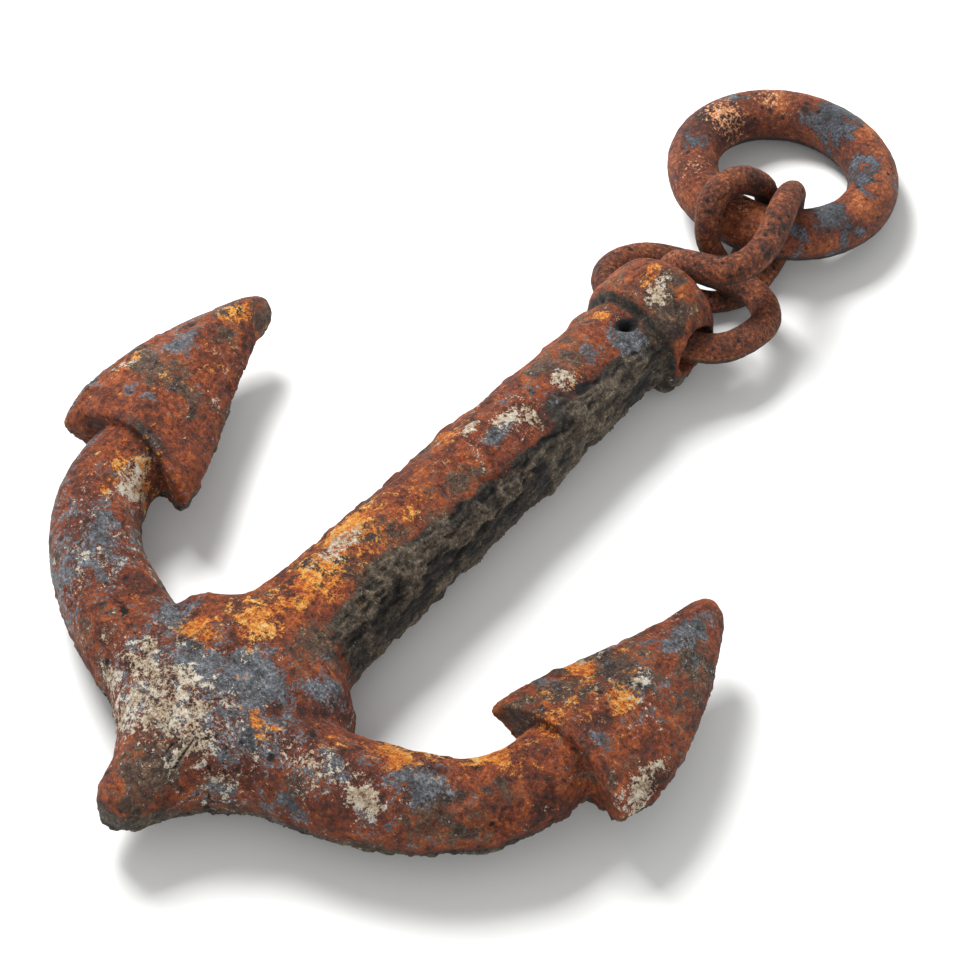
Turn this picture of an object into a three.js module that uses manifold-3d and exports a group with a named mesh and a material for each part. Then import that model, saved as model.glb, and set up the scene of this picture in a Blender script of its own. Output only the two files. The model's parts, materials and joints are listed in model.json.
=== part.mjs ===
// Small stockless fisherman's anchor, lying flat, with the short run of chain left on its head.
// The anchor is one iron casting: a round shank, two curved arms that end in arrowhead flukes,
// a blunt bill under the crown and a thick eyed head.  A shackle ring passes through the eye,
// and two crossed links join it to a heavy mooring ring.
// Millimetres.  Built with +Z up, the shank along +Y and the arms spread along X.
import * as THREE from "three";
import { mergeVertices } from "three/addons/utils/BufferGeometryUtils.js";
import Module from "manifold-3d";

// ---- Driving dimensions -------------------------------------------------------------------

const axisHeight = 30.5; // centre plane of the casting above the surface that it lies on
const shankEnd = 382; // crown point to the groove under the head
const shankRadiusHead = 25; // shank just below the head
const shankRadiusCrown = 30; // shank just above the crown
const billRadius = 13; // blunt point under the crown
const crownHalfWidth = 59; // crown where the arms leave it
const crownHalfHeight = 31.3; // a little over axisHeight, so that it stands on a narrow flat
const crownTop = 104; // crown point to the top of the crown
const crownFlatAt = 85; // crown point to the middle of the flat that it rests on

const armSpread = 140; // shank axis to the arm's axis, at the fluke
const armTop = 164; // crown point to the base of the flukes, along the shank
const armRadiusRoot = 30;
const armRadiusNeck = 21.5;

const flukeLength = 117; // base to tip
const flukeHalfWidth = 45;
const flukeHalfHeight = 24;
const flukeTipRadius = 7;
const barbSweep = 8; // how far the barbs reach back past the base
const flukeLean = 9; // both tips lean this far to the left of where they point
const flukeLift = 4; // flukes sit this far above the arms' centre plane
const flukeLoss = 2; // the left fluke is this much narrower each way, and the right one wider
const innerBarbLoss = 3; // rust has taken this much off the inner barbs

const headLength = 44;
const headRadius = 32.3;
const grooveDepth = 4.5;
const eyeRadius = 10.5; // eye at the middle of the head
const eyeMouthRadius = 15; // eye where it opens on the head's sides
const eyeSetback = 19.5; // groove to the eye's axis

const linkWire = 16; // shackle ring and both links
const mooringWire = 28;
const mooringRadius = 49.5; // to the middle of its bar
const mooringPast = 111.4; // head to the middle of the mooring ring
const mooringAside = -17.5; // shank's axis to the middle of the mooring ring
const shacklePast = 32.8; // head to the middle of the shackle ring's far bar
const shackleReach = 41; // half the shackle ring's width, to the middle of its bar
const shackleDroop = 0.17; // how much it falls for each millimetre beyond the eye
const lift = 1.4; // air over the links where the mooring ring bears on them

// ---- Derived sizes ------------------------------------------------------------------------

const headTop = shankEnd + headLength;
const eyeAt = shankEnd + eyeSetback;
const wireRadius = linkWire / 2;
const barRadius = mooringWire / 2;
const wornWire = wireRadius * 0.75; // where the rings' weight has worn the links
const floorWire = wornWire + 0.6; // height of a link's wire that lies near the surface

const wasm = await Module();
wasm.setup();

// ---- Solids and meshes --------------------------------------------------------------------

function toSolid(geometry) {
  const bare = geometry.clone();
  bare.deleteAttribute("normal");
  bare.deleteAttribute("uv");
  const merged = mergeVertices(bare, 1e-4);
  return new wasm.Manifold(
    new wasm.Mesh({
      numProp: 3,
      vertProperties: merged.attributes.position.array,
      triVerts: new Uint32Array(merged.index.array),
    }),
  );
}

function toMesh(solid, name, material) {
  const data = solid.getMesh();
  const corners = new Float32Array(data.numVert * 3);
  for (let i = 0; i < data.numVert; i += 1) {
    corners.set(data.vertProperties.subarray(i * data.numProp, i * data.numProp + 3), i * 3);
  }
  const geometry = new THREE.BufferGeometry();
  geometry.setAttribute("position", new THREE.BufferAttribute(corners, 3));
  geometry.setIndex(new THREE.BufferAttribute(data.triVerts, 1));
  geometry.computeVertexNormals();
  const mesh = new THREE.Mesh(geometry, material);
  mesh.name = name;
  return mesh;
}

// A closed skin over a row of rings that all have as many points, with a point at each end.
function skin(first, rings, last) {
  const around = rings[0].length;
  const corners = [first, ...rings.flat(), last];
  const faces = [];
  const at = (ring, k) => 1 + ring * around + (k % around);
  const end = corners.length - 1;
  for (let k = 0; k < around; k += 1) {
    faces.push(0, at(0, k + 1), at(0, k));
    for (let ring = 0; ring < rings.length - 1; ring += 1) {
      faces.push(at(ring, k), at(ring, k + 1), at(ring + 1, k + 1));
      faces.push(at(ring, k), at(ring + 1, k + 1), at(ring + 1, k));
    }
    faces.push(end, at(rings.length - 1, k), at(rings.length - 1, k + 1));
  }
  const geometry = new THREE.BufferGeometry().setFromPoints(corners);
  geometry.setIndex(faces);
  return geometry;
}

// Smooth reading of a profile: pairs of [place, value], eased between neighbours.
function profile(pairs) {
  const curve = new THREE.CatmullRomCurve3(
    pairs.map(([place, value]) => new THREE.Vector3(place, value, 0)),
    false,
    "centripetal",
  );
  return (t) => {
    const point = curve.getPoint(t);
    return [point.x, Math.max(point.y, 0)];
  };
}

// ---- The casting --------------------------------------------------------------------------

// Bill, crown and shank are one run of oval sections along the shank's axis.
function shankAndCrown() {
  const around = 28;
  const widths = profile([
    [1.5, billRadius * 0.62],
    [7, billRadius],
    [22, billRadius * 1.45],
    [36, crownHalfWidth * 0.5],
    [50, crownHalfWidth * 0.8],
    [66, crownHalfWidth * 0.97],
    [84, crownHalfWidth],
    [crownTop, crownHalfWidth * 0.96],
    [crownTop + 11, crownHalfWidth * 0.86],
    [crownTop + 17, crownHalfWidth * 0.71],
    [crownTop + 26, crownHalfWidth * 0.58],
    [crownTop + 42, shankRadiusCrown * 1.03],
    [crownTop + 80, shankRadiusCrown],
    [(crownTop + shankEnd) / 2 + 30, (shankRadiusCrown + shankRadiusHead) / 2 + 0.8],
    [shankEnd, shankRadiusHead],
  ]);
  const halfHeight = (y, width) => {
    if (y > crownTop) {
      return Math.min(width, crownHalfHeight);
    }
    return crownHalfHeight * (1 - Math.exp(-width / (crownHalfHeight * 0.72))) * 1.09;
  };
  const rings = [];
  const steps = 34;
  for (let i = 0; i <= steps; i += 1) {
    const [y, width] = widths(i / steps);
    const height = Math.min(halfHeight(y, width), crownHalfHeight);
    rings.push(ovalRing(y, width, height, around));
  }
  const start = new THREE.Vector3(0, 0, 0);
  const end = new THREE.Vector3(0, shankEnd, 0);
  return toSolid(skin(start, rings, end));
}

function ovalRing(y, halfWidth, halfHeight, around) {
  const ring = [];
  for (let k = 0; k < around; k += 1) {
    const turn = (k / around) * 2 * Math.PI;
    ring.push(new THREE.Vector3(Math.sin(turn) * halfWidth, y, Math.cos(turn) * halfHeight));
  }
  return ring;
}

// One arm: a round bar that leaves the crown sideways and curls up to its fluke.
function arm(side) {
  const path = new THREE.CatmullRomCurve3(
    [
      [0, 64],
      [armSpread * 0.26, 74],
      [armSpread * 0.53, 84],
      [armSpread * 0.75, 99],
      [armSpread * 0.905, 118.5],
      [armSpread * 0.985, 141],
      [armSpread, armTop + 2],
      [armSpread + 2, armTop + 26],
    ].map(([x, y]) => new THREE.Vector3(side * x, y, 0)),
    false,
    "centripetal",
  );
  const around = 20;
  const steps = 20;
  const rings = [];
  for (let i = 0; i <= steps; i += 1) {
    const t = i / steps;
    const radius = THREE.MathUtils.lerp(armRadiusRoot, armRadiusNeck, Math.min(1, t * 1.6) ** 0.9);
    rings.push(barRing(path, t, radius, around));
  }
  return toSolid(skin(path.getPointAt(0), rings, path.getPointAt(1)));
}

// A ring of points square to a flat path, wound so that the skin faces out.
function barRing(path, t, radius, around) {
  const centre = path.getPointAt(t);
  const along = path.getTangentAt(t);
  const across = new THREE.Vector3(along.y, -along.x, 0).normalize();
  const ring = [];
  for (let k = 0; k < around; k += 1) {
    const turn = (k / around) * 2 * Math.PI;
    const point = centre.clone().addScaledVector(across, Math.sin(turn) * radius);
    point.z += Math.cos(turn) * radius;
    ring.push(point);
  }
  return ring;
}

// One fluke: a thick arrowhead with a soft ridge, a rounded tip and two barbs swept back.
function fluke(side) {
  const around = 24;
  const steps = 12;
  const rings = [];
  const base = armTop - 3;
  const widths = profile([
    [0, flukeHalfWidth * 0.985],
    [0.1, flukeHalfWidth],
    [0.3, flukeHalfWidth * 0.87],
    [0.55, flukeHalfWidth * 0.62],
    [0.8, flukeHalfWidth * 0.36],
    [0.93, flukeTipRadius * 1.45],
    [0.985, flukeTipRadius * 0.8],
  ]);
  for (let i = 0; i <= steps; i += 1) {
    const [t, width] = widths(i / steps);
    const height = THREE.MathUtils.lerp(flukeHalfHeight, flukeTipRadius * 1.5, t ** 1.3);
    const rise = Math.min(height, width * 1.05);
    const outward = side * (4 * t - 6 * (1 - t) ** 2 + 6 * Math.sin(Math.PI * t));
    const middle = side * (armSpread + 5) + outward - flukeLean * t;
    const wide = width + side * flukeLoss * (1 - t);
    const ring = flukeRing(middle, base + flukeLength * t, wide, rise, t, around);
    for (const point of ring) {
      const inside = Math.max(0, (side * (middle - point.x)) / wide);
      const loss = innerBarbLoss * (1.5 + side) * inside ** 2 * (1 - t) ** 4;
      point.x += side * loss;
      point.y += loss;
    }
    rings.push(ring);
  }
  const notch = new THREE.Vector3(side * (armSpread + 1), base + barbSweep * 0.5, flukeLift);
  const tip = rings[steps].reduce((sum, p) => sum.add(p), new THREE.Vector3());
  tip.divideScalar(around);
  tip.y = base + flukeLength;
  return toSolid(skin(notch, rings, tip));
}

// The section of a fluke: ridged above and below, with a blunt rim, its sides swept back.
function flukeRing(middle, y, width, height, t, around) {
  const rim = 0.24;
  const ring = [];
  for (let k = 0; k < around; k += 1) {
    const turn = (k / around) * 2 * Math.PI;
    const sideways = Math.sin(turn);
    const upright = Math.cos(turn);
    const lens = (1 - Math.abs(sideways) ** 1.5) * (1 - rim) + rim;
    const sweep = barbSweep * (1 - t) ** 3 * Math.abs(sideways) ** 2;
    const lift = Math.sign(upright) * Math.min(1, Math.abs(upright) * 2.2) * lens * height;
    ring.push(new THREE.Vector3(middle + sideways * width, y - sweep, flukeLift + lift));
  }
  return ring;
}

// The head: a groove, then a heavy rounded knob, turned about the shank's axis.
function head() {
  const outline = [
    [0, shankEnd - 12],
    [shankRadiusHead - 1, shankEnd - 12],
    [shankRadiusHead, shankEnd - 3],
    [shankRadiusHead - grooveDepth * 0.4, shankEnd],
    [shankRadiusHead - grooveDepth, shankEnd + 2.5],
    [headRadius - 4, shankEnd + 2.5],
    [headRadius - 0.6, shankEnd + 5.5],
    [headRadius, shankEnd + 10],
    [headRadius, headTop - 18],
    [headRadius - 1.6, headTop - 11],
    [headRadius - 6, headTop - 5],
    [headRadius - 13, headTop - 1.6],
    [0, headTop],
  ].map(([radius, y]) => new THREE.Vector2(radius, y));
  return toSolid(new THREE.LatheGeometry(outline, 28));
}

// The eye: a hole across the head that opens out towards both sides, worn by the ring.
function eye() {
  const half = headRadius + 4;
  const outline = [
    [0, -half],
    [eyeMouthRadius + 1.5, -half],
    [eyeMouthRadius - 1.5, -headRadius + 3],
    [eyeRadius + 1.2, -headRadius * 0.55],
    [eyeRadius, -headRadius * 0.3],
    [eyeRadius, headRadius * 0.3],
    [eyeRadius + 1.2, headRadius * 0.55],
    [eyeMouthRadius - 1.5, headRadius - 3],
    [eyeMouthRadius + 1.5, half],
    [0, half],
  ].map(([radius, along]) => new THREE.Vector2(radius, along));
  const cutter = new THREE.LatheGeometry(outline, 20);
  cutter.rotateZ(-Math.PI / 2);
  cutter.translate(0, eyeAt, 0);
  return toSolid(cutter);
}

// Everything under the resting surface is trimmed off, which leaves narrow flats to lie on.
function ground() {
  const slab = new THREE.BoxGeometry(600, 600, 40);
  slab.translate(0, 200, -axisHeight - 20);
  return toSolid(slab);
}

function casting() {
  let body = shankAndCrown().add(head());
  for (const side of [-1, 1]) {
    body = body.add(arm(side)).add(fluke(side));
  }
  return body.subtract(eye()).subtract(ground()).translate([0, 0, axisHeight]);
}

// ---- Chain --------------------------------------------------------------------------------

// A bar bent into a closed loop through the given points.  A point's fourth number, if it has
// one, is how much of the bar's radius wear has left there.
function closedBar(points, radius, steps, around) {
  const path = new THREE.CatmullRomCurve3(
    points.map(([x, y, z]) => new THREE.Vector3(x, y, z)),
    true,
    "centripetal",
  );
  const left = new THREE.CatmullRomCurve3(
    points.map(([, , , worn = 1], i) => new THREE.Vector3(i, worn, 0)),
    true,
    "catmullrom",
  );
  const frames = path.computeFrenetFrames(steps, true);
  const tube = new THREE.TubeGeometry(path, steps, radius, around, true);
  const corners = tube.attributes.position;
  const corner = new THREE.Vector3();
  for (let i = 0; i <= steps; i += 1) {
    const u = (i % steps) / steps;
    const centre = path.getPointAt(u);
    const scale = left.getPoint(path.getUtoTmapping(u)).y;
    for (let k = 0; k <= around; k += 1) {
      corner.fromBufferAttribute(corners, i * (around + 1) + k);
      corner.sub(centre).multiplyScalar(scale).add(centre);
      corners.setXYZ(i * (around + 1) + k, corner.x, corner.y, corner.z);
    }
  }
  return toSolid(tube);
}

// The shackle ring lies almost flat: straight where it crosses the eye, round beyond it,
// and a little out of true.  It droops to rest on the right link.
function shackleRing() {
  const depth = headTop + shacklePast - eyeAt;
  const outline = [
    [0, 0],
    [0.6, 0],
    [0.93, 0.18],
    [1.05, 0.5],
    [1, 0.8],
    [0.68, 0.982],
    [0.28, 1],
    [-0.1, 0.919],
    [-0.49, 0.821],
    [-0.8, 0.675],
    [-0.99, 0.421],
    [-0.92, 0.15],
    [-0.6, 0],
  ];
  const points = outline.map(([across, along]) => [
    across * shackleReach,
    eyeAt + along * depth,
    axisHeight - along * depth * shackleDroop,
  ]);
  return closedBar(points, wireRadius, 48, 12);
}

// The mooring ring lies beyond, its near side lifted by the links that pass under it.
function mooringRing() {
  const near = 2 * wornWire + lift + barRadius;
  const tilt = Math.asin((near - barRadius) / (2 * mooringRadius));
  const ring = new THREE.TorusGeometry(mooringRadius, barRadius, 14, 44);
  ring.rotateX(-tilt);
  ring.translate(mooringAside, headTop + mooringPast, (near + barRadius) / 2);
  return toSolid(ring);
}

// A link's points are given along the chain from the top of the head.
function pastHead(points) {
  return points.map(([x, along, z, worn]) => [x, headTop + along, z, worn]);
}

// The left link is threaded on the mooring ring: over its near side, down inside it and back
// along the ground.  It is worn thin where it hangs between the two rings.
function leftLink() {
  const points = [
    [-19.5, 51, 50],
    [-17.5, 45.5, 46, 0.95],
    [-15, 41, 36, 0.85],
    [-12.5, 41, 25, 0.8],
    [-5, 42.6, 14, 0.75],
    [1, 45, floorWire, 0.75],
    [-1.5, 53, floorWire, 0.75],
    [-5, 61, floorWire, 0.75],
    [-8, 73, 8, 0.75],
    [-8.5, 81.3, 16, 0.78],
    [-8.5, 84.6, 27, 0.82],
    [-9, 82.8, 37, 0.85],
    [-11, 77.5, 45, 0.93],
    [-15.5, 70, 50.5],
    [-19, 61, 51.5],
  ];
  return closedBar(pastHead(points), wireRadius, 48, 12);
}

// The right link joins the rings: it rises out of the shackle ring on the left, crosses over
// both rings and the left link, dips inside the mooring ring and comes back along the ground.
function rightLink() {
  const points = [
    [-12.5, 8.6, 36, 0.95],
    [-6, 8.2, 43],
    [4, 8.2, 48],
    [16, 11, 51.5],
    [23.5, 19, 53],
    [25, 33, 53],
    [21.5, 48, 52.5],
    [16.5, 61, 51.5],
    [12, 72, 49.9, 0.95],
    [6, 87.2, 41.5, 0.88],
    [2.8, 92.8, 28, 0.84],
    [4, 89.5, 14, 0.8],
    [8, 78.5, 6.9, 0.72],
    [12.5, 60, floorWire, 0.75],
    [14, 41, floorWire, 0.75],
    [7, 27, floorWire, 0.75],
    [-4, 15.5, 10.5, 0.82],
    [-12, 9.2, 22, 0.88],
  ];
  return closedBar(pastHead(points), wireRadius, 48, 12);
}

// ---- Assembly -----------------------------------------------------------------------------

function iron(color, roughness) {
  return new THREE.MeshStandardMaterial({ color, roughness, metalness: 0.25 });
}

const anchor = new THREE.Group();
anchor.add(toMesh(casting(), "anchor_casting", iron(0x7a4526, 0.85)));
anchor.add(toMesh(shackleRing(), "shackle_ring", iron(0x6b3a24, 0.8)));
anchor.add(toMesh(leftLink(), "left_link", iron(0x70402a, 0.8)));
anchor.add(toMesh(rightLink(), "right_link", iron(0x76452c, 0.8)));
anchor.add(toMesh(mooringRing(), "mooring_ring", iron(0x5f3d30, 0.75)));

// The origin is on the surface, at the flat under the crown.
anchor.position.y = -crownFlatAt;

export default anchor;
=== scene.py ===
import json
import math

import bmesh
import bpy
import numpy as np
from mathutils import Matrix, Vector


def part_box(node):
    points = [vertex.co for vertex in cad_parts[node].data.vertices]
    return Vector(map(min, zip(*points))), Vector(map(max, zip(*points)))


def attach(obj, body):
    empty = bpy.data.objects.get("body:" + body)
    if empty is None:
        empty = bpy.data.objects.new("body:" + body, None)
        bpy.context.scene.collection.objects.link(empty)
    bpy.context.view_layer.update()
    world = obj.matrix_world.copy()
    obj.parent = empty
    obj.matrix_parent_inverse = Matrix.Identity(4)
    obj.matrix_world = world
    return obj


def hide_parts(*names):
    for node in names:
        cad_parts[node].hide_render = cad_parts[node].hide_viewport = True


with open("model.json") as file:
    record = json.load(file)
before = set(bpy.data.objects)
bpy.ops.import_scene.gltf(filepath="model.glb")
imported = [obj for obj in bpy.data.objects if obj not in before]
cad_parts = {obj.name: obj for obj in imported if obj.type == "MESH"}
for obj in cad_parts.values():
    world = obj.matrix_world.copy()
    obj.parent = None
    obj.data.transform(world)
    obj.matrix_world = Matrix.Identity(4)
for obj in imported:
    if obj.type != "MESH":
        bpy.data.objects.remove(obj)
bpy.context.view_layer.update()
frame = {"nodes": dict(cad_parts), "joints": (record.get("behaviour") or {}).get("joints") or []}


# ---- Camera -------------------------------------------------------------------------------
# The anchor lies on the ground and is seen from above its right arm, with the chain beyond.

camera_aim = Vector((0.0095, 0.1770, 0.0312))
camera_distance = 1.70
camera_elevation = math.radians(52)
camera_turn = math.radians(49.3)
sensor_width = 36
focal_share = 3400 / 980  # the lens's focal length over the width of the frame

camera_data = bpy.data.cameras.new("camera")
camera_data.sensor_width = sensor_width
camera_data.lens = focal_share * sensor_width
camera_data.clip_start = 0.05
camera = bpy.data.objects.new("camera", camera_data)
bpy.context.scene.collection.objects.link(camera)
bpy.context.scene.camera = camera
camera_back = Vector((
    math.cos(camera_elevation) * math.cos(camera_turn),
    -math.cos(camera_elevation) * math.sin(camera_turn),
    math.sin(camera_elevation),
))
camera.location = camera_aim + camera_back * camera_distance
camera.rotation_euler = (-camera_back).to_track_quat("-Z", "Y").to_euler()


# ---- Anchor casting -----------------------------------------------------------------------
# Shank, crown, arms, flukes and eyed head are one sand casting in iron. Years of salt have
# left it with layered scale, blistered rust, old paint in cream and slate, and deep pits.
# The skin is a fine remesh of the casting, worn in by listed and seeded displacement.

casting_voxel = 0.00136
casting_smoothing = 6
eye_centre = Vector((0, frame["joints"][0]["pos_m"][1], frame["joints"][0]["pos_m"][2]))
_, head_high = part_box("anchor_casting")
head_top = head_high.y
groove_at = head_top - 0.0435  # middle of the groove under the head


def hashed(ix, iy, iz, seed):
    """A repeatable number from 0 to 1 for each whole-numbered cell."""
    mixed = (ix * 374761393 + iy * 668265263 + iz * 2147483647 + seed * 974634777) & 0xFFFFFFFF
    mixed = ((mixed ^ (mixed >> 13)) * 1274126177) & 0xFFFFFFFF
    mixed = ((mixed ^ (mixed >> 16)) * 2246822519) & 0xFFFFFFFF
    return ((mixed ^ (mixed >> 15)) & 0xFFFFFF) / 0xFFFFFF


def grain(points, size, seed):
    """Smooth random relief from -1 to 1, whose lumps are about size across."""
    cell = points / size
    low = np.floor(cell).astype(np.int64)
    part = cell - low
    ease = part * part * part * (part * (part * 6 - 15) + 10)
    total = np.zeros(len(points))
    for corner in range(8):
        dx, dy, dz = corner & 1, (corner >> 1) & 1, corner >> 2
        weight = np.where(dx, ease[:, 0], 1 - ease[:, 0])
        weight = weight * np.where(dy, ease[:, 1], 1 - ease[:, 1])
        weight = weight * np.where(dz, ease[:, 2], 1 - ease[:, 2])
        total += weight * hashed(low[:, 0] + dx, low[:, 1] + dy, low[:, 2] + dz, seed)
    return total * 2 - 1


def layered_grain(points, size, seed, layers=3, roughness=0.55):
    """Grain with finer and finer grain on it."""
    total = np.zeros(len(points))
    strength, reach = 1.0, 0.0
    for layer in range(layers):
        total += strength * grain(points + 0.37 * layer, size / 2.03 ** layer, seed + layer)
        reach += strength
        strength *= roughness
    return total / reach


def cells(points, size, seed):
    """Distance to the nearest and the second nearest scattered seed, and the nearest's own number."""
    cell = points / size
    low = np.floor(cell).astype(np.int64)
    first = np.full(len(points), 9.0)
    second = np.full(len(points), 9.0)
    number = np.zeros(len(points))
    for step in range(27):
        ix = low[:, 0] + step % 3 - 1
        iy = low[:, 1] + step // 3 % 3 - 1
        iz = low[:, 2] + step // 9 - 1
        away = np.sqrt(
            (cell[:, 0] - ix - hashed(ix, iy, iz, seed + 1)) ** 2
            + (cell[:, 1] - iy - hashed(ix, iy, iz, seed + 2)) ** 2
            + (cell[:, 2] - iz - hashed(ix, iy, iz, seed + 3)) ** 2
        )
        closer = away < first
        second = np.where(closer, first, np.minimum(second, away))
        number = np.where(closer, hashed(ix, iy, iz, seed + 4), number)
        first = np.where(closer, away, first)
    return first, second, number


def between(low, high, value):
    """Eases from 0 at low to 1 at high."""
    part = np.clip((value - low) / (high - low), 0, 1)
    return part * part * (3 - 2 * part)


def fine_skin(node, piece, voxel, smoothing):
    """A copy of a CAD node with an even, fine skin, its place in its own mesh."""
    skin = bpy.data.objects.new(piece, frame["nodes"][node].data.copy())
    bpy.context.scene.collection.objects.link(skin)
    skin.data.materials.clear()
    merge = bmesh.new()
    merge.from_mesh(skin.data)
    bmesh.ops.remove_doubles(merge, verts=merge.verts, dist=1e-6)
    merge.to_mesh(skin.data)
    merge.free()
    remesh = skin.modifiers.new("remesh", "REMESH")
    remesh.mode = "VOXEL"
    remesh.voxel_size = voxel
    smooth = skin.modifiers.new("smooth", "SMOOTH")
    smooth.factor = 0.5
    smooth.iterations = smoothing
    evaluated = skin.evaluated_get(bpy.context.evaluated_depsgraph_get())
    finished = bpy.data.meshes.new_from_object(evaluated)
    skin.modifiers.clear()
    skin.data = finished
    finished.name = piece
    finished.shade_smooth()
    return skin


def places(skin):
    """The skin's points and their outward directions."""
    count = len(skin.data.vertices)
    points = np.empty(count * 3, np.float32)
    outward = np.empty(count * 3, np.float32)
    skin.data.vertices.foreach_get("co", points)
    skin.data.vertex_normals.foreach_get("vector", outward)
    return points.reshape(-1, 3).astype(float), outward.reshape(-1, 3).astype(float)


def set_places(skin, points):
    """Moves the skin's points."""
    skin.data.vertices.foreach_set("co", points.astype(np.float32).ravel())
    skin.data.update()


def keep(skin, name, values):
    """Stores a value at each point of the skin, for the finish to read."""
    layer = skin.data.attributes.new(name, "FLOAT", "POINT")
    layer.data.foreach_set("value", np.clip(values, 0, 1).astype(np.float32))


def blot(points, x, y, across, along, turn=0.0, z=None, deep=0.03):
    """1 at a spot seen from above, fading to 0 outside an oval of the given half-widths."""
    dx, dy = points[:, 0] - x, points[:, 1] - y
    c, s = math.cos(math.radians(turn)), math.sin(math.radians(turn))
    far = ((dx * c + dy * s) / across) ** 2 + ((dy * c - dx * s) / along) ** 2
    if z is not None:
        far = far + ((points[:, 2] - z) / deep) ** 2
    return np.exp(-far)


casting = fine_skin("anchor_casting", "anchor_casting_skin", casting_voxel, casting_smoothing)
at, out = places(casting)
mm = 0.001

# Where the forms are: the shank's own length, its eye, and what faces the ground.
along_shank = between(0.035, 0.06, at[:, 1]) * between(0.303, 0.292, at[:, 1])
along_shank = along_shank * between(0.040, 0.034, np.abs(at[:, 0]))
underside = between(0.15, -0.45, out[:, 2])
drift = layered_grain(at, 0.030, 11)
from_eye = np.hypot(at[:, 1] - eye_centre.y, at[:, 2] - eye_centre.z)
near_eye = between(0.021, 0.012, from_eye) * between(0.29, 0.3, at[:, 1])
head_end = between(head_top - 0.010, head_top - 0.003, at[:, 1])
calm = 1 - 0.85 * np.maximum(near_eye, head_end)

# Layered scale like bark, split along the bar, on the shank's right side and underneath; on faces turned
# down its dark colour is painted shade.
weather_side = along_shank * between(0.008, 0.021, at[:, 0] + 0.010 * drift)
bark = np.maximum(weather_side, 0.8 * underside)
warp = 0.0022 * np.stack([grain(at, 0.009, 21), grain(at, 0.009, 22), grain(at, 0.009, 23)], axis=1)
down_shank = (at + warp) * (1, 0.36, 1)
down_arm = (at + warp) * (0.42, 1, 1)
split = np.where(
    np.abs(at[:, 0]) < 0.04, layered_grain(down_shank, 0.0042, 31), layered_grain(down_arm, 0.0042, 31),
)
ledges = between(-0.08, 0.08, layered_grain(down_shank, 0.011, 41))
bark_relief = 1.1 * (0.55 - np.abs(split) * 2.6) + 1.1 * (ledges - 0.5)

# Plates of scale that have lifted or fallen away, with sharp edges.
first, second, number = cells(at + 2.2 * warp, 0.015, 51)
plate_step = between(0.03, 0.10, second - first)
plates = np.where(number > 0.52, plate_step, 0.0)
plated = between(0.05, 0.45, layered_grain(at, 0.045, 55) + 0.35 * bark)
for x, y, across, length in (
    (-0.026, 0.150, 0.012, 0.10),
    (0.104, 0.106, 0.016, 0.026),
    (-0.040, -0.020, 0.03, 0.03),
    (0.012, 0.275, 0.022, 0.020),
    (0.045, 0.030, 0.016, 0.016),
):
    plated = np.maximum(plated, blot(at, x, y, across, length))

# Round pits where the iron has been eaten, and small blisters of fresh rust.
pit_first, _, pit_number = cells(at, 0.0085, 61)
pits = between(0.34, 0.12, pit_first) * (pit_number > 0.62)
blister_first, _, blister_number = cells(at, 0.0048, 71)
blisters = between(0.42, 0.10, blister_first) * (blister_number > 0.66)

# Long cracks in the crown's old paint and scale.
crack_first, crack_second, _ = cells((at + 3.0 * warp) * (1, 0.5, 1), 0.019, 81)
cracked = np.maximum(blot(at, -0.055, -0.005, 0.030, 0.035), blot(at, 0.02, -0.04, 0.03, 0.02))
cracks = between(0.055, 0.0, crack_second - crack_first) * np.clip(cracked * 1.3, 0, 1)

relief = 0.55 * layered_grain(at, 0.024, 91) + 0.5 * layered_grain(at, 0.0075, 95) * (1 + bark)
relief += bark * bark_relief + plated * plates * 0.95 - 0.75 * pits + 0.45 * blisters - 1.1 * cracks

# Lumps of rust and dirt that stand off the edges: place, reach and height, in millimetres.
for x, y, z, reach, height in (
    (96, -28, 3, 5.5, 5.0), (128, -8, 4, 3.2, 3.5), (58, -46, 4, 4.0, 3.0), (22, -62, 6, 4, 2.4),
    (-30, 186, 38, 7.5, 2.8), (-28, 198, 40, 6, 2.0), (-27, 232, 36, 5, 1.6), (-28, 262, 38, 5, 2.2),
    (-26, 284, 42, 7, 3.4), (27, 205, 16, 4.5, 3.2), (29, 178, 14, 4.0, 2.6), (26, 244, 14, 3.6, 2.6),
    (28, 150, 14, 4.2, 2.8), (29, 118, 16, 4.5, 2.6), (27, 222, 10, 3.0, 3.4), (36, 56, 22, 5, 3.0),
    (-44, 44, 34, 5.5, 2.8), (20, 303, 12, 7, 3.6), (6, 306, 4, 6, 3.0), (28, 312, 16, 5, 2.4),
    (-24, 300, 26, 6, 3.0), (-12, 300, 52, 5, 1.8), (101, 78, 34, 5, 2.6), (110, 108, 46, 5.5, 2.6),
    (118, 96, 48, 5, 1.8), (182, 88, 20, 4, 2.6), (126, 131, 40, 5, 2.4), (-100, 92, 24, 4.5, 2.4),
    (-104, 76, 22, 5, 3.0), (-180, 78, 24, 5, 2.2), (-118, 36, 40, 6, 1.4), (-2, -78, 24, 6, 2.2),
):
    away = np.linalg.norm(at - np.array((x, y, z)) * mm, axis=1) / (reach * mm)
    relief += height * np.exp(-away ** 2) * (1 + 0.35 * grain(at, 0.004, 101))

# The casting is filled out where the arms meet the shank.
relief += 3.0 * blot(at, -0.070, 0.030, 0.030, 0.016) + 1.8 * blot(at, 0.075, 0.034, 0.034, 0.014)
relief += 2.6 * blot(at, -0.108, 0.052, 0.012, 0.026)

# A hole rusted through the skin by the groove, with a curled lip of scale beside it.
tear = blot(at, 0.0055, 0.2895, 0.0030, 0.0042, turn=-35) * between(0.0, 0.5, out[:, 2])
lip = blot(at, 0.0105, 0.2875, 0.0045, 0.0075, turn=-35) * between(0.0, 0.5, out[:, 2])
relief += 2.2 * lip - 8.0 * tear

at = at + out * (relief * calm * mm)[:, None]
at[:, 2] = np.maximum(at[:, 2], 0.0002)
set_places(casting, at)

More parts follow.
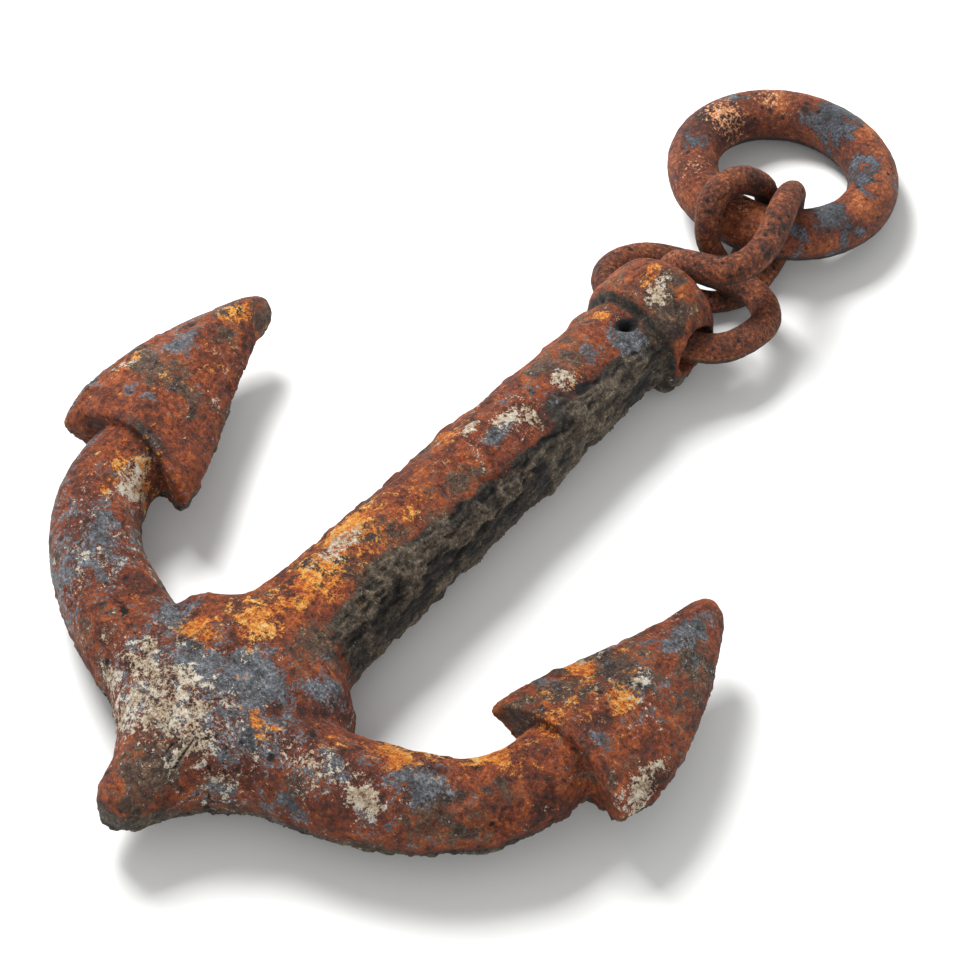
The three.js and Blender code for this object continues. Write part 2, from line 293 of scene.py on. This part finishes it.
# Old finishes, as places on the casting: x, y, half-widths, turn and strength.
finishes = {
    "amber": (
        (-0.014, 0.098, 0.012, 0.034, 0, 1.0), (-0.004, 0.062, 0.015, 0.026, 0, 0.95),
        (-0.010, 0.030, 0.022, 0.018, 0, 0.8), (-0.018, 0.178, 0.010, 0.014, 0, 0.75),
        (-0.028, 0.008, 0.014, 0.014, 0, 0.9), (0.004, 0.124, 0.010, 0.014, 0, 0.6),
        (0.012, 0.245, 0.008, 0.010, 0, 0.7), (-0.010, 0.287, 0.008, 0.006, 0, 0.9),
        (-0.004, 0.322, 0.008, 0.012, 40, 0.8), (-0.124, 0.060, 0.014, 0.020, 20, 0.75),
        (-0.176, 0.110, 0.009, 0.014, 10, 0.7), (-0.158, 0.170, 0.008, 0.014, 0, 0.8),
        (0.120, 0.050, 0.016, 0.020, -35, 1.0), (0.088, 0.018, 0.018, 0.012, 20, 0.9),
        (0.062, 0.004, 0.016, 0.010, 10, 0.7), (0.030, -0.016, 0.014, 0.010, 0, 0.6),
        (0.120, 0.114, 0.012, 0.007, -10, 1.1), (0.150, 0.108, 0.012, 0.014, 0, 0.7),
        (0.132, 0.078, 0.014, 0.012, 0, 0.7), (-0.060, 0.000, 0.012, 0.010, 0, 0.4),
    ),
    "cream": (
        (-0.010, 0.088, 0.007, 0.016, 0, 0.9), (-0.012, 0.184, 0.006, 0.008, 0, 1.0),
        (0.000, 0.200, 0.008, 0.010, 0, 0.9), (0.010, 0.212, 0.008, 0.008, 0, 0.8),
        (0.004, 0.238, 0.007, 0.008, 0, 0.9), (0.006, 0.314, 0.006, 0.012, 25, 0.95),
        (-0.034, -0.022, 0.024, 0.020, 0, 0.85), (0.012, -0.030, 0.024, 0.014, 0, 0.8),
        (0.060, -0.014, 0.016, 0.010, 0, 0.75), (0.092, -0.010, 0.012, 0.007, 20, 1.0),
        (-0.118, 0.052, 0.010, 0.020, 20, 0.8), (-0.096, 0.012, 0.014, 0.014, 0, 0.65),
        (-0.176, 0.106, 0.006, 0.008, 0, 0.8), (0.183, 0.085, 0.007, 0.020, 10, 1.1),
        (0.148, 0.124, 0.007, 0.009, 0, 0.8), (0.126, 0.060, 0.007, 0.007, 0, 0.6),
        (-0.014, 0.000, 0.016, 0.010, 0, 0.5), (0.144, 0.190, 0.008, 0.007, 0, 0.6),
        (0.116, 0.118, 0.008, 0.005, 0, 0.7), (-0.130, 0.030, 0.010, 0.02, 30, 0.5),
    ),
    "slate": (
        (0.018, 0.004, 0.026, 0.016, 0, 1.0), (0.042, 0.022, 0.014, 0.014, 0, 0.9),
        (-0.046, 0.010, 0.018, 0.018, 0, 0.9), (-0.010, -0.040, 0.030, 0.016, 0, 0.7),
        (0.002, 0.190, 0.007, 0.014, 0, 0.9), (0.014, 0.284, 0.016, 0.012, 0, 1.2),
        (0.004, 0.262, 0.010, 0.008, 0, 0.7), (-0.108, 0.024, 0.014, 0.020, 20, 0.8),
        (-0.126, 0.072, 0.007, 0.010, 0, 0.7), (0.108, 0.016, 0.020, 0.014, 25, 1.0),
        (0.074, -0.006, 0.016, 0.010, 10, 0.8), (-0.162, 0.136, 0.007, 0.016, 0, 1.0),
        (-0.146, 0.096, 0.006, 0.006, 0, 0.9), (0.146, 0.160, 0.009, 0.022, 0, 1.0),
        (0.152, 0.084, 0.012, 0.010, 0, 0.8), (-0.158, 0.098, 0.008, 0.012, 0, 0.5),
        (0.112, 0.098, 0.012, 0.006, 0, 0.7), (0.064, -0.030, 0.016, 0.010, 0, 0.7),
    ),
}
broad_coats = {
    "amber": (
        (-0.004, 0.075, 0.022, 0.070, 0, 0.66), (0.105, 0.040, 0.050, 0.022, 25, 0.60),
        (-0.004, 0.180, 0.024, 0.060, 0, 0.36),
        (-0.128, 0.060, 0.024, 0.030, 20, 0.5), (-0.150, 0.130, 0.040, 0.060, 0, 0.32),
        (0.130, 0.110, 0.040, 0.050, 0, 0.42),
        (0.0, 0.320, 0.030, 0.020, 0, 0.4),
    ),
    "cream": (
        (-0.010, -0.034, 0.070, 0.036, 0, 0.74), (-0.100, 0.020, 0.040, 0.050, 25, 0.45),
        (0.080, -0.010, 0.050, 0.020, 12, 0.42),
        (0.0, 0.200, 0.024, 0.050, 0, 0.45), (0.140, 0.120, 0.040, 0.060, 0, 0.34),
    ),
    "slate": (
        (0.005, -0.012, 0.080, 0.042, 0, 0.80), (-0.104, 0.010, 0.040, 0.060, 25, 0.68),
        (0.085, 0.000, 0.060, 0.026, 14, 0.52),
        (0.004, 0.220, 0.026, 0.080, 0, 0.42), (0.145, 0.130, 0.040, 0.070, 0, 0.46),
        (-0.150, 0.120, 0.030, 0.050, 0, 0.36),
    ),
}
outer_left = between(-0.100, -0.125, at[:, 0]) * between(-0.25, -0.7, out[:, 0])
for name, spots in finishes.items():
    kept = 0.10 + 0.10 * layered_grain(at, 0.040, 111)
    for x, y, across, length, turn, strength in spots + broad_coats[name]:
        kept = np.maximum(kept, strength * blot(at, x, y, across, length, turn))
    if name == "slate":
        kept = np.maximum(kept, 0.6 * outer_left)
    keep(casting, name, kept * (1 - 0.75 * bark))

olive = 0.9 * blot(at, 0.014, 0.226, 0.010, 0.014)
# Painted shade in the char colour: the groove under the head, the notches at the flukes' base, the
# crown's foot by the ground and, through the scale's share, the faces turned down.
groove_shade = 0.8 * blot(at, 0, groove_at + 0.001, 0.2, 0.0030) * (np.abs(at[:, 0]) < 0.05)
notch_shade = np.maximum(blot(at, 0.128, 0.078, 0.022, 0.006), blot(at, -0.130, 0.078, 0.022, 0.006))
crown_foot_shade = between(-0.045, -0.07, at[:, 1]) * between(0.5, -0.1, out[:, 2]) * 0.8
char_and_shade = np.maximum.reduce([bark, olive, groove_shade, 0.6 * notch_shade, crown_foot_shade])
keep(casting, "char_and_shade", char_and_shade)
# Painted highlight and shade: the scale's ridges are kept lighter and its splits darker, following its
# relief.
keep(casting, "ridge_light", 0.62 + 0.42 * bark_relief * np.maximum(bark, 0.3))
# Painted shade: the relief's low spots, the groove and the rusted hole are marked for near-black colour.
keep(casting, "hollow_shade", between(0.1, -1.3, relief) + 0.55 * groove_shade + tear)


def paint(code):
    """A finish's colour as the shader needs it, from its usual six-digit code."""
    channels = [int(code[i:i + 2], 16) / 255 for i in (1, 3, 5)]
    return (*[c / 12.92 if c < 0.04045 else ((c + 0.055) / 1.055) ** 2.4 for c in channels], 1)


def part(tree, kind, *inputs, out=0, **settings):
    """Adds a node, joins or sets its inputs in order, and gives back its output."""
    made = tree.nodes.new("ShaderNode" + kind)
    for name, value in settings.items():
        setattr(made, name, value)
    for place, value in inputs:
        if isinstance(value, bpy.types.NodeSocket):
            tree.links.new(value, made.inputs[place])
        else:
            made.inputs[place].default_value = value
    return made.outputs[out]


def speckle(tree, where, scale, detail=6.0, roughness=0.6, distortion=0.0, shift=0.0):
    """Noise on the object's own coordinates, moved by shift so that no two finishes share it."""
    moved = part(tree, "VectorMath", (0, where), (1, (shift, shift * 0.7, shift * 1.3)), operation="ADD")
    return part(
        tree, "TexNoise", ("Vector", moved), ("Scale", scale), ("Detail", detail),
        ("Roughness", roughness), ("Distortion", distortion),
    )


def sums(tree, first, *others):
    """A value plus other values, each times its share."""
    total = first
    for value, share in others:
        total = part(tree, "Math", (0, value), (1, share), (2, total), operation="MULTIPLY_ADD")
    return total


def edge(tree, value, low, high):
    """0 below low, 1 above high, eased between."""
    return part(
        tree, "MapRange", ("Value", value), ("From Min", low), ("From Max", high),
        interpolation_type="SMOOTHSTEP",
    )


def over(tree, below, above, share):
    """One colour laid over another where share is 1."""
    return part(tree, "Mix", (0, share), (6, below), (7, above), out=2, data_type="RGBA")


def shades(tree, value, *stops):
    """A run of colours along a value."""
    ramp = tree.nodes.new("ShaderNodeValToRGB")
    tree.links.new(value, ramp.inputs[0])
    elements = ramp.color_ramp.elements
    while len(elements) < len(stops):
        elements.new(0.5)
    for element, (place, code) in zip(elements, stops):
        element.position = place
        element.color = paint(code)
    return ramp.outputs[0]


def field(tree, name):
    """A value kept on the skin."""
    return part(tree, "Attribute", out=2, attribute_name=name)


def new_finish(name):
    """A blank material: its tree, its shader and the object's own coordinates."""
    finish = bpy.data.materials.new(name)
    finish.use_nodes = True
    tree = finish.node_tree
    shader = tree.nodes["Principled BSDF"]
    where = part(tree, "TexCoord", out=3)
    return finish, tree, shader, where


def relief_of(tree, shader, height, distance, strength=1.0):
    """Fine relief that the mesh is too coarse for."""
    bump = tree.nodes.new("ShaderNodeBump")
    bump.inputs["Distance"].default_value = distance
    bump.inputs["Strength"].default_value = strength
    tree.links.new(height, bump.inputs["Height"])
    tree.links.new(bump.outputs[0], shader.inputs["Normal"])


def strong(tree, value, gain):
    """Noise spread out round nothing, so that it can be added to a kept value."""
    return part(tree, "Math", (0, value), (1, gain), (2, -0.5 * gain), operation="MULTIPLY_ADD")


def scaled_iron():
    """Rust in every shade, with what is left of cream, amber and slate coats over it."""
    finish, tree, shader, where = new_finish("scaled_cast_iron")
    broad = strong(tree, speckle(tree, where, 30, 3, 0.5, 0.3), 1)
    flake = strong(tree, speckle(tree, where, 85, 10, 0.68, 0.6, 0.31), 1)
    fleck = strong(tree, speckle(tree, where, 120, 10, 0.70, 0.5, 0.57), 1)
    chip = strong(tree, speckle(tree, where, 70, 10, 0.72, 0.7, 0.83), 1)
    fine = strong(tree, speckle(tree, where, 380, 7, 0.72, 0.2, 0.12), 1)
    grit = strong(tree, speckle(tree, where, 560, 6, 0.7, 0.2, 0.91), 1)
    dust = strong(tree, speckle(tree, where, 1300, 3, 0.6, 0.0, 0.44), 1)
    ridge_light = field(tree, "ridge_light")

    tone = sums(tree, 0.44, (broad, 0.5), (flake, 1.2), (fine, 1.1), (dust, 0.5))
    rust = shades(
        tree, tone,
        (0.08, "#1c0d08"), (0.24, "#47200f"), (0.40, "#7b3515"), (0.54, "#a84f1c"), (0.68, "#ca6e29"),
        (0.86, "#e49b57"),
    )
    umber = shades(
        tree, sums(tree, 0.46, (fleck, 1.3), (grit, 1.3), (dust, 0.6)),
        (0.12, "#120c09"), (0.32, "#37251b"), (0.50, "#5a4333"), (0.68, "#84674e"), (0.90, "#b99b78"),
    )
    umber_share = edge(tree, sums(tree, 0.30, (broad, 2.6), (chip, 1.6), (grit, 1.1)), 0.40, 0.60)
    amber = shades(
        tree, sums(tree, 0.50, (chip, 1.3), (fine, 1.5), (dust, 0.7)),
        (0.14, "#6b210c"), (0.32, "#b34c10"), (0.48, "#e07d1c"), (0.62, "#f5a93a"), (0.78, "#fbd184"),
        (0.92, "#fdf0cf"),
    )
    amber_share = edge(
        tree, sums(tree, -0.10, (field(tree, "amber"), 0.95), (fleck, 2.6), (grit, 1.5), (dust, 0.5)),
        0.44, 0.60,
    )
    cream = shades(
        tree, sums(tree, 0.52, (flake, 1.2), (fine, 1.6), (dust, 0.9)),
        (0.10, "#4d3628"), (0.30, "#94765b"), (0.50, "#cdb494"), (0.70, "#ece0ca"), (0.90, "#faf6ee"),
    )
    cream_share = edge(
        tree, sums(tree, -0.16, (field(tree, "cream"), 0.9), (chip, 2.7), (fine, 2.2), (dust, 0.8)), 0.47,
        0.56,
    )
    slate = shades(
        tree, sums(tree, 0.48, (fleck, 1.2), (grit, 1.4), (dust, 0.7)),
        (0.10, "#191817"), (0.30, "#3b3b3c"), (0.48, "#5c5e62"), (0.64, "#7f838a"), (0.78, "#a3a8b0"),
        (0.92, "#d3d5d6"),
    )
    slate_share = edge(
        tree, sums(tree, -0.08, (field(tree, "slate"), 0.9), (flake, 2.5), (grit, 1.4), (dust, 0.4)),
        0.44, 0.54,
    )
    # The char colour is lighter on the scale's ridges and darker in its splits, as painted highlight and
    # painted shade.
    char_and_shade = shades(
        tree, sums(tree, -0.02, (ridge_light, 0.62), (fleck, 1.0), (grit, 1.3), (dust, 0.6)),
        (0.08, "#0a0806"), (0.24, "#29221b"), (0.42, "#4b4033"), (0.60, "#6f604d"), (0.78, "#978871"),
        (0.95, "#c9bda4"),
    )
    # Where the char colour lies: the scale, and the painted shade of the groove, notches, crown's foot
    # and undersides.
    char_and_shade_share = edge(
        tree, sums(tree, 0.0, (field(tree, "char_and_shade"), 1.0), (flake, 1.4), (fine, 1.3)), 0.40, 0.62,
    )

    colour = over(tree, rust, umber, umber_share)
    colour = over(tree, colour, char_and_shade, char_and_shade_share)
    colour = over(tree, colour, slate, slate_share)
    colour = over(tree, colour, amber, amber_share)
    colour = over(tree, colour, cream, cream_share)
    stains = edge(tree, sums(tree, 0.5, (fleck, 1.6), (fine, 1.7)), 0.22, 0.10)
    colour = over(tree, colour, paint("#2e0f08"), stains)
    specks = edge(tree, sums(tree, 0.5, (grit, 1.5), (dust, 1.2)), 0.16, 0.06)
    colour = over(tree, colour, paint("#0c0705"), specks)
    # Painted shade: near-black in the casting's hollows, groove and rusted hole.
    hollow_shade_share = edge(tree, sums(tree, 0.0, (field(tree, "hollow_shade"), 1.0), (fine, 1.0)), 0.30, 0.90)
    colour = over(tree, colour, paint("#0b0704"), hollow_shade_share)
    tree.links.new(colour, shader.inputs["Base Color"])

    coats = sums(tree, 0.0, (cream_share, 0.35), (slate_share, 0.4), (amber_share, 0.2))
    rough = sums(tree, 0.80, (dust, 0.3), (coats, -0.5), (char_and_shade_share, -0.06))
    tree.links.new(rough, shader.inputs["Roughness"])
    height = sums(
        tree, 0.0, (flake, 1.3), (fine, 1.1), (grit, 0.7), (dust, 0.3), (coats, 0.30), (stains, -0.25),
        (specks, -0.2),
    )
    relief_of(tree, shader, height, 0.0032)
    return finish


casting.data.materials.append(scaled_iron())
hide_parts("anchor_casting")
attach(casting, "anchor")


# ---- Shackle ring and links ---------------------------------------------------------------
# Forge-welded bar bent into loops: the ring through the head's eye and two crossed links.
# Their rust is even and fine-grained, with painted shade that makes it darker underneath and so brighter
# on top.

wire_voxel = 0.00072
wire_smoothing = 30
wire_swell = 0.00016


def chained_iron():
    """Even red-brown rust with orange grains, and olive shadows painted on as shade underneath."""
    finish, tree, shader, where = new_finish("rusted_chain")
    broad = strong(tree, speckle(tree, where, 60, 4, 0.55, 0.0, 0.21), 1)
    fine = strong(tree, speckle(tree, where, 430, 7, 0.7, 0.2, 0.35), 1)
    grit = strong(tree, speckle(tree, where, 800, 5, 0.7, 0.0, 0.63), 1)
    dust = strong(tree, speckle(tree, where, 1700, 3, 0.6, 0.0, 0.52), 1)
    tone = sums(tree, 0.46, (broad, 0.8), (fine, 1.5), (grit, 0.8), (dust, 0.6))
    rust = shades(
        tree, tone,
        (0.08, "#170b07"), (0.28, "#3f1d10"), (0.46, "#6a3319"), (0.60, "#8d4a26"), (0.76, "#b06a3a"),
        (0.92, "#cf9468"),
    )
    # Painted shade: the dull colour goes where the loop faces down, and also in random dull patches.
    dull_and_shade = shades(tree, tone, (0.10, "#0c0806"), (0.40, "#2a1d14"), (0.65, "#4d3826"), (0.90, "#7a6046"))
    dull_and_shade_share = edge(
        tree, sums(tree, 0.06, (field(tree, "char_and_shade"), 1.0), (broad, 1.6), (fine, 0.8)), 0.35, 0.75,
    )
    colour = over(tree, rust, dull_and_shade, dull_and_shade_share)
    bright = edge(tree, sums(tree, 0.5, (grit, 1.5), (fine, 1.0)), 0.88, 1.0)
    colour = over(tree, colour, paint("#c9692c"), bright)
    # Painted shade: near-black in pits and the grain's low spots.
    pit_shade = edge(tree, sums(tree, 0.0, (field(tree, "hollow_shade"), 1.0), (grit, 0.8)), 0.3, 0.9)
    colour = over(tree, colour, paint("#140a06"), pit_shade)
    tree.links.new(colour, shader.inputs["Base Color"])
    tree.links.new(sums(tree, 0.80, (dust, 0.3), (pit_shade, 0.1)), shader.inputs["Roughness"])
    relief_of(tree, shader, sums(tree, 0.0, (broad, 0.4), (fine, 1.2), (grit, 0.6), (dust, 0.4)), 0.0016)
    return finish


def rusted_loop(node, body, voxel, smoothing, swell, seed):
    """A loop of bar, its skin swollen back to size and grained by rust."""
    loop = fine_skin(node, node + "_skin", voxel, smoothing)
    points, facing = places(loop)
    grained = 0.30 * layered_grain(points, 0.012, seed) + 0.20 * layered_grain(points, 0.0034, seed + 5)
    hole, _, lot = cells(points, 0.0052, seed + 9)
    pocks = between(0.36, 0.12, hole) * (lot > 0.6)
    worn = (grained - 0.32 * pocks) * mm + swell
    points = points + facing * worn[:, None]
    points[:, 2] = np.maximum(points[:, 2], 0.0002)
    set_places(loop, points)
    # Painted shade: the faces turned down are marked for the darker colour.
    keep(loop, "char_and_shade", between(0.25, -0.6, facing[:, 2]))
    # Painted shade: pits and the grain's low spots are marked for near-black colour.
    keep(loop, "hollow_shade", 0.8 * pocks + between(0.0, -0.35, grained))
    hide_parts(node)
    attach(loop, body)
    return loop


chain_finish = chained_iron()
for node, body, seed in (
    ("shackle_ring", "shackle", 211),
    ("right_link", "main_link", 231),
    ("left_link", "spare_link", 251),
):
    loop = rusted_loop(node, body, wire_voxel, wire_smoothing, wire_swell, seed)
    loop.data.materials.append(chain_finish)


# ---- Mooring ring -------------------------------------------------------------------------
# A heavy ring of round bar, forge-welded. Its rust is smooth and red-brown, with dark
# blue-grey patches of old coating and pale orange specks on the left.

ring_voxel = 0.00088
ring_smoothing = 24
ring_swell = 0.0001


def mottled_iron():
    """Red-brown rust, blue-grey patches and pale specks."""
    finish, tree, shader, where = new_finish("mottled_ring")
    broad = strong(tree, speckle(tree, where, 42, 5, 0.6, 0.3, 0.15), 1)
    patch = strong(tree, speckle(tree, where, 62, 9, 0.68, 0.5, 0.72), 1)
    fine = strong(tree, speckle(tree, where, 400, 7, 0.7, 0.2, 0.39), 1)
    grit = strong(tree, speckle(tree, where, 750, 5, 0.7, 0.0, 0.84), 1)
    dust = strong(tree, speckle(tree, where, 1600, 3, 0.6, 0.0, 0.26), 1)
    tone = sums(tree, 0.46, (broad, 1.2), (fine, 1.2), (grit, 0.7), (dust, 0.5))
    rust = shades(
        tree, tone,
        (0.08, "#180c08"), (0.28, "#421c0e"), (0.46, "#6f3216"), (0.60, "#944a20"), (0.76, "#b96a33"),
        (0.92, "#d99a66"),
    )
    slate = shades(
        tree, sums(tree, 0.46, (patch, 1.0), (grit, 1.2), (dust, 0.6)),
        (0.10, "#0e0d0d"), (0.34, "#292b2e"), (0.54, "#474b52"), (0.74, "#6f7681"), (0.92, "#9aa0aa"),
    )
    slate_share = edge(
        tree, sums(tree, 0.0, (field(tree, "slate"), 0.85), (patch, 2.2), (fine, 1.1)), 0.46, 0.58,
    )
    cream = shades(
        tree, sums(tree, 0.5, (grit, 1.6), (dust, 0.9)), (0.15, "#9a4a22"), (0.50, "#d58a52"),
        (0.85, "#efd3b2"),
    )
    cream_share = edge(
        tree, sums(tree, -0.10, (field(tree, "cream"), 0.75), (fine, 2.4), (grit, 1.4)), 0.48, 0.58,
    )
    # Painted shade: near-black brown where the ring faces down, and in random dull patches.
    dull_and_shade_share = edge(
        tree, sums(tree, 0.0, (field(tree, "char_and_shade"), 1.0), (broad, 1.6), (fine, 0.7)), 0.40, 0.80,
    )
    colour = over(tree, rust, slate, slate_share)
    colour = over(tree, colour, cream, cream_share)
    colour = over(tree, colour, paint("#1b120c"), dull_and_shade_share)
    # Painted shade: near-black in pits and the grain's low spots.
    pit_shade = edge(tree, sums(tree, 0.0, (field(tree, "hollow_shade"), 1.0), (grit, 0.8)), 0.3, 0.9)
    colour = over(tree, colour, paint("#120905"), pit_shade)
    tree.links.new(colour, shader.inputs["Base Color"])
    tree.links.new(sums(tree, 0.74, (dust, 0.28), (slate_share, -0.2)), shader.inputs["Roughness"])
    height = sums(
        tree, 0.0, (broad, 0.6), (fine, 1.0), (grit, 0.5), (dust, 0.3), (slate_share, 0.2),
        (cream_share, 0.15),
    )
    relief_of(tree, shader, height, 0.0018)
    return finish


mooring = rusted_loop("mooring_ring", "mooring", ring_voxel, ring_smoothing, ring_swell, 271)
ring_low, ring_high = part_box("mooring_ring")
ring_middle = (ring_low + ring_high) / 2
on_ring, _ = places(mooring)
slate_field = 0.15 + np.zeros(len(on_ring))
for x, y, reach, strength in (
    (0.000, 0.047, 0.022, 0.9), (0.042, 0.020, 0.020, 0.8), (0.046, -0.018, 0.016, 1.0),
    (0.028, -0.040, 0.018, 0.7), (-0.046, 0.018, 0.016, 0.5), (-0.042, -0.026, 0.012, 0.7),
):
    spot = blot(on_ring, ring_middle.x + x, ring_middle.y + y, reach, reach)
    slate_field = np.maximum(slate_field, strength * spot)
cream_field = 0.1 + np.zeros(len(on_ring))
for x, y, reach, strength in (
    (-0.046, 0.004, 0.016, 1.0), (-0.036, 0.036, 0.016, 0.8), (-0.030, -0.040, 0.012, 0.7),
    (0.010, -0.046, 0.012, 0.6),
):
    spot = blot(on_ring, ring_middle.x + x, ring_middle.y + y, reach, reach)
    cream_field = np.maximum(cream_field, strength * spot)
keep(mooring, "slate", slate_field)
keep(mooring, "cream", cream_field)
mooring.data.materials.append(mottled_iron())


# ---- Floor and light ----------------------------------------------------------------------
# A plain pale floor, a large soft key light from the far left and a weaker fill.

floor_half = 6.0
key_power = 52
fill_power = 10
sky_strength = 0.55

floor_mesh = bpy.data.meshes.new("floor")
floor_mesh.from_pydata(
    [
        (-floor_half, -floor_half, 0), (floor_half, -floor_half, 0),
        (floor_half, floor_half, 0), (-floor_half, floor_half, 0),
    ],
    [],
    [(0, 1, 2, 3)],
)
floor = bpy.data.objects.new("floor", floor_mesh)
bpy.context.scene.collection.objects.link(floor)
floor_finish, _, floor_shader, _ = new_finish("pale_floor")
floor_shader.inputs["Base Color"].default_value = paint("#f2f2f1")
floor_shader.inputs["Roughness"].default_value = 0.9
floor_mesh.materials.append(floor_finish)


def soft_light(name, place, aim, size, power):
    """A square area light that faces a point."""
    data = bpy.data.lights.new(name, "AREA")
    data.shape = "SQUARE"
    data.size = size
    data.energy = power
    light = bpy.data.objects.new(name, data)
    light.location = place
    light.rotation_euler = (Vector(aim) - Vector(place)).to_track_quat("-Z", "Y").to_euler()
    bpy.context.scene.collection.objects.link(light)


light_aim = (0, 0.15, 0)
soft_light("key", (-1.1, 0.5, 1.5), light_aim, 0.8, key_power)
soft_light("fill", (1.4, -1.2, 1.5), light_aim, 1.6, fill_power)

world = bpy.data.worlds.new("studio")
world.use_nodes = True
world.node_tree.nodes["Background"].inputs["Color"].default_value = paint("#ffffff")
world.node_tree.nodes["Background"].inputs["Strength"].default_value = sky_strength
bpy.context.scene.world = world
bpy.context.scene.view_settings.view_transform = "Standard"
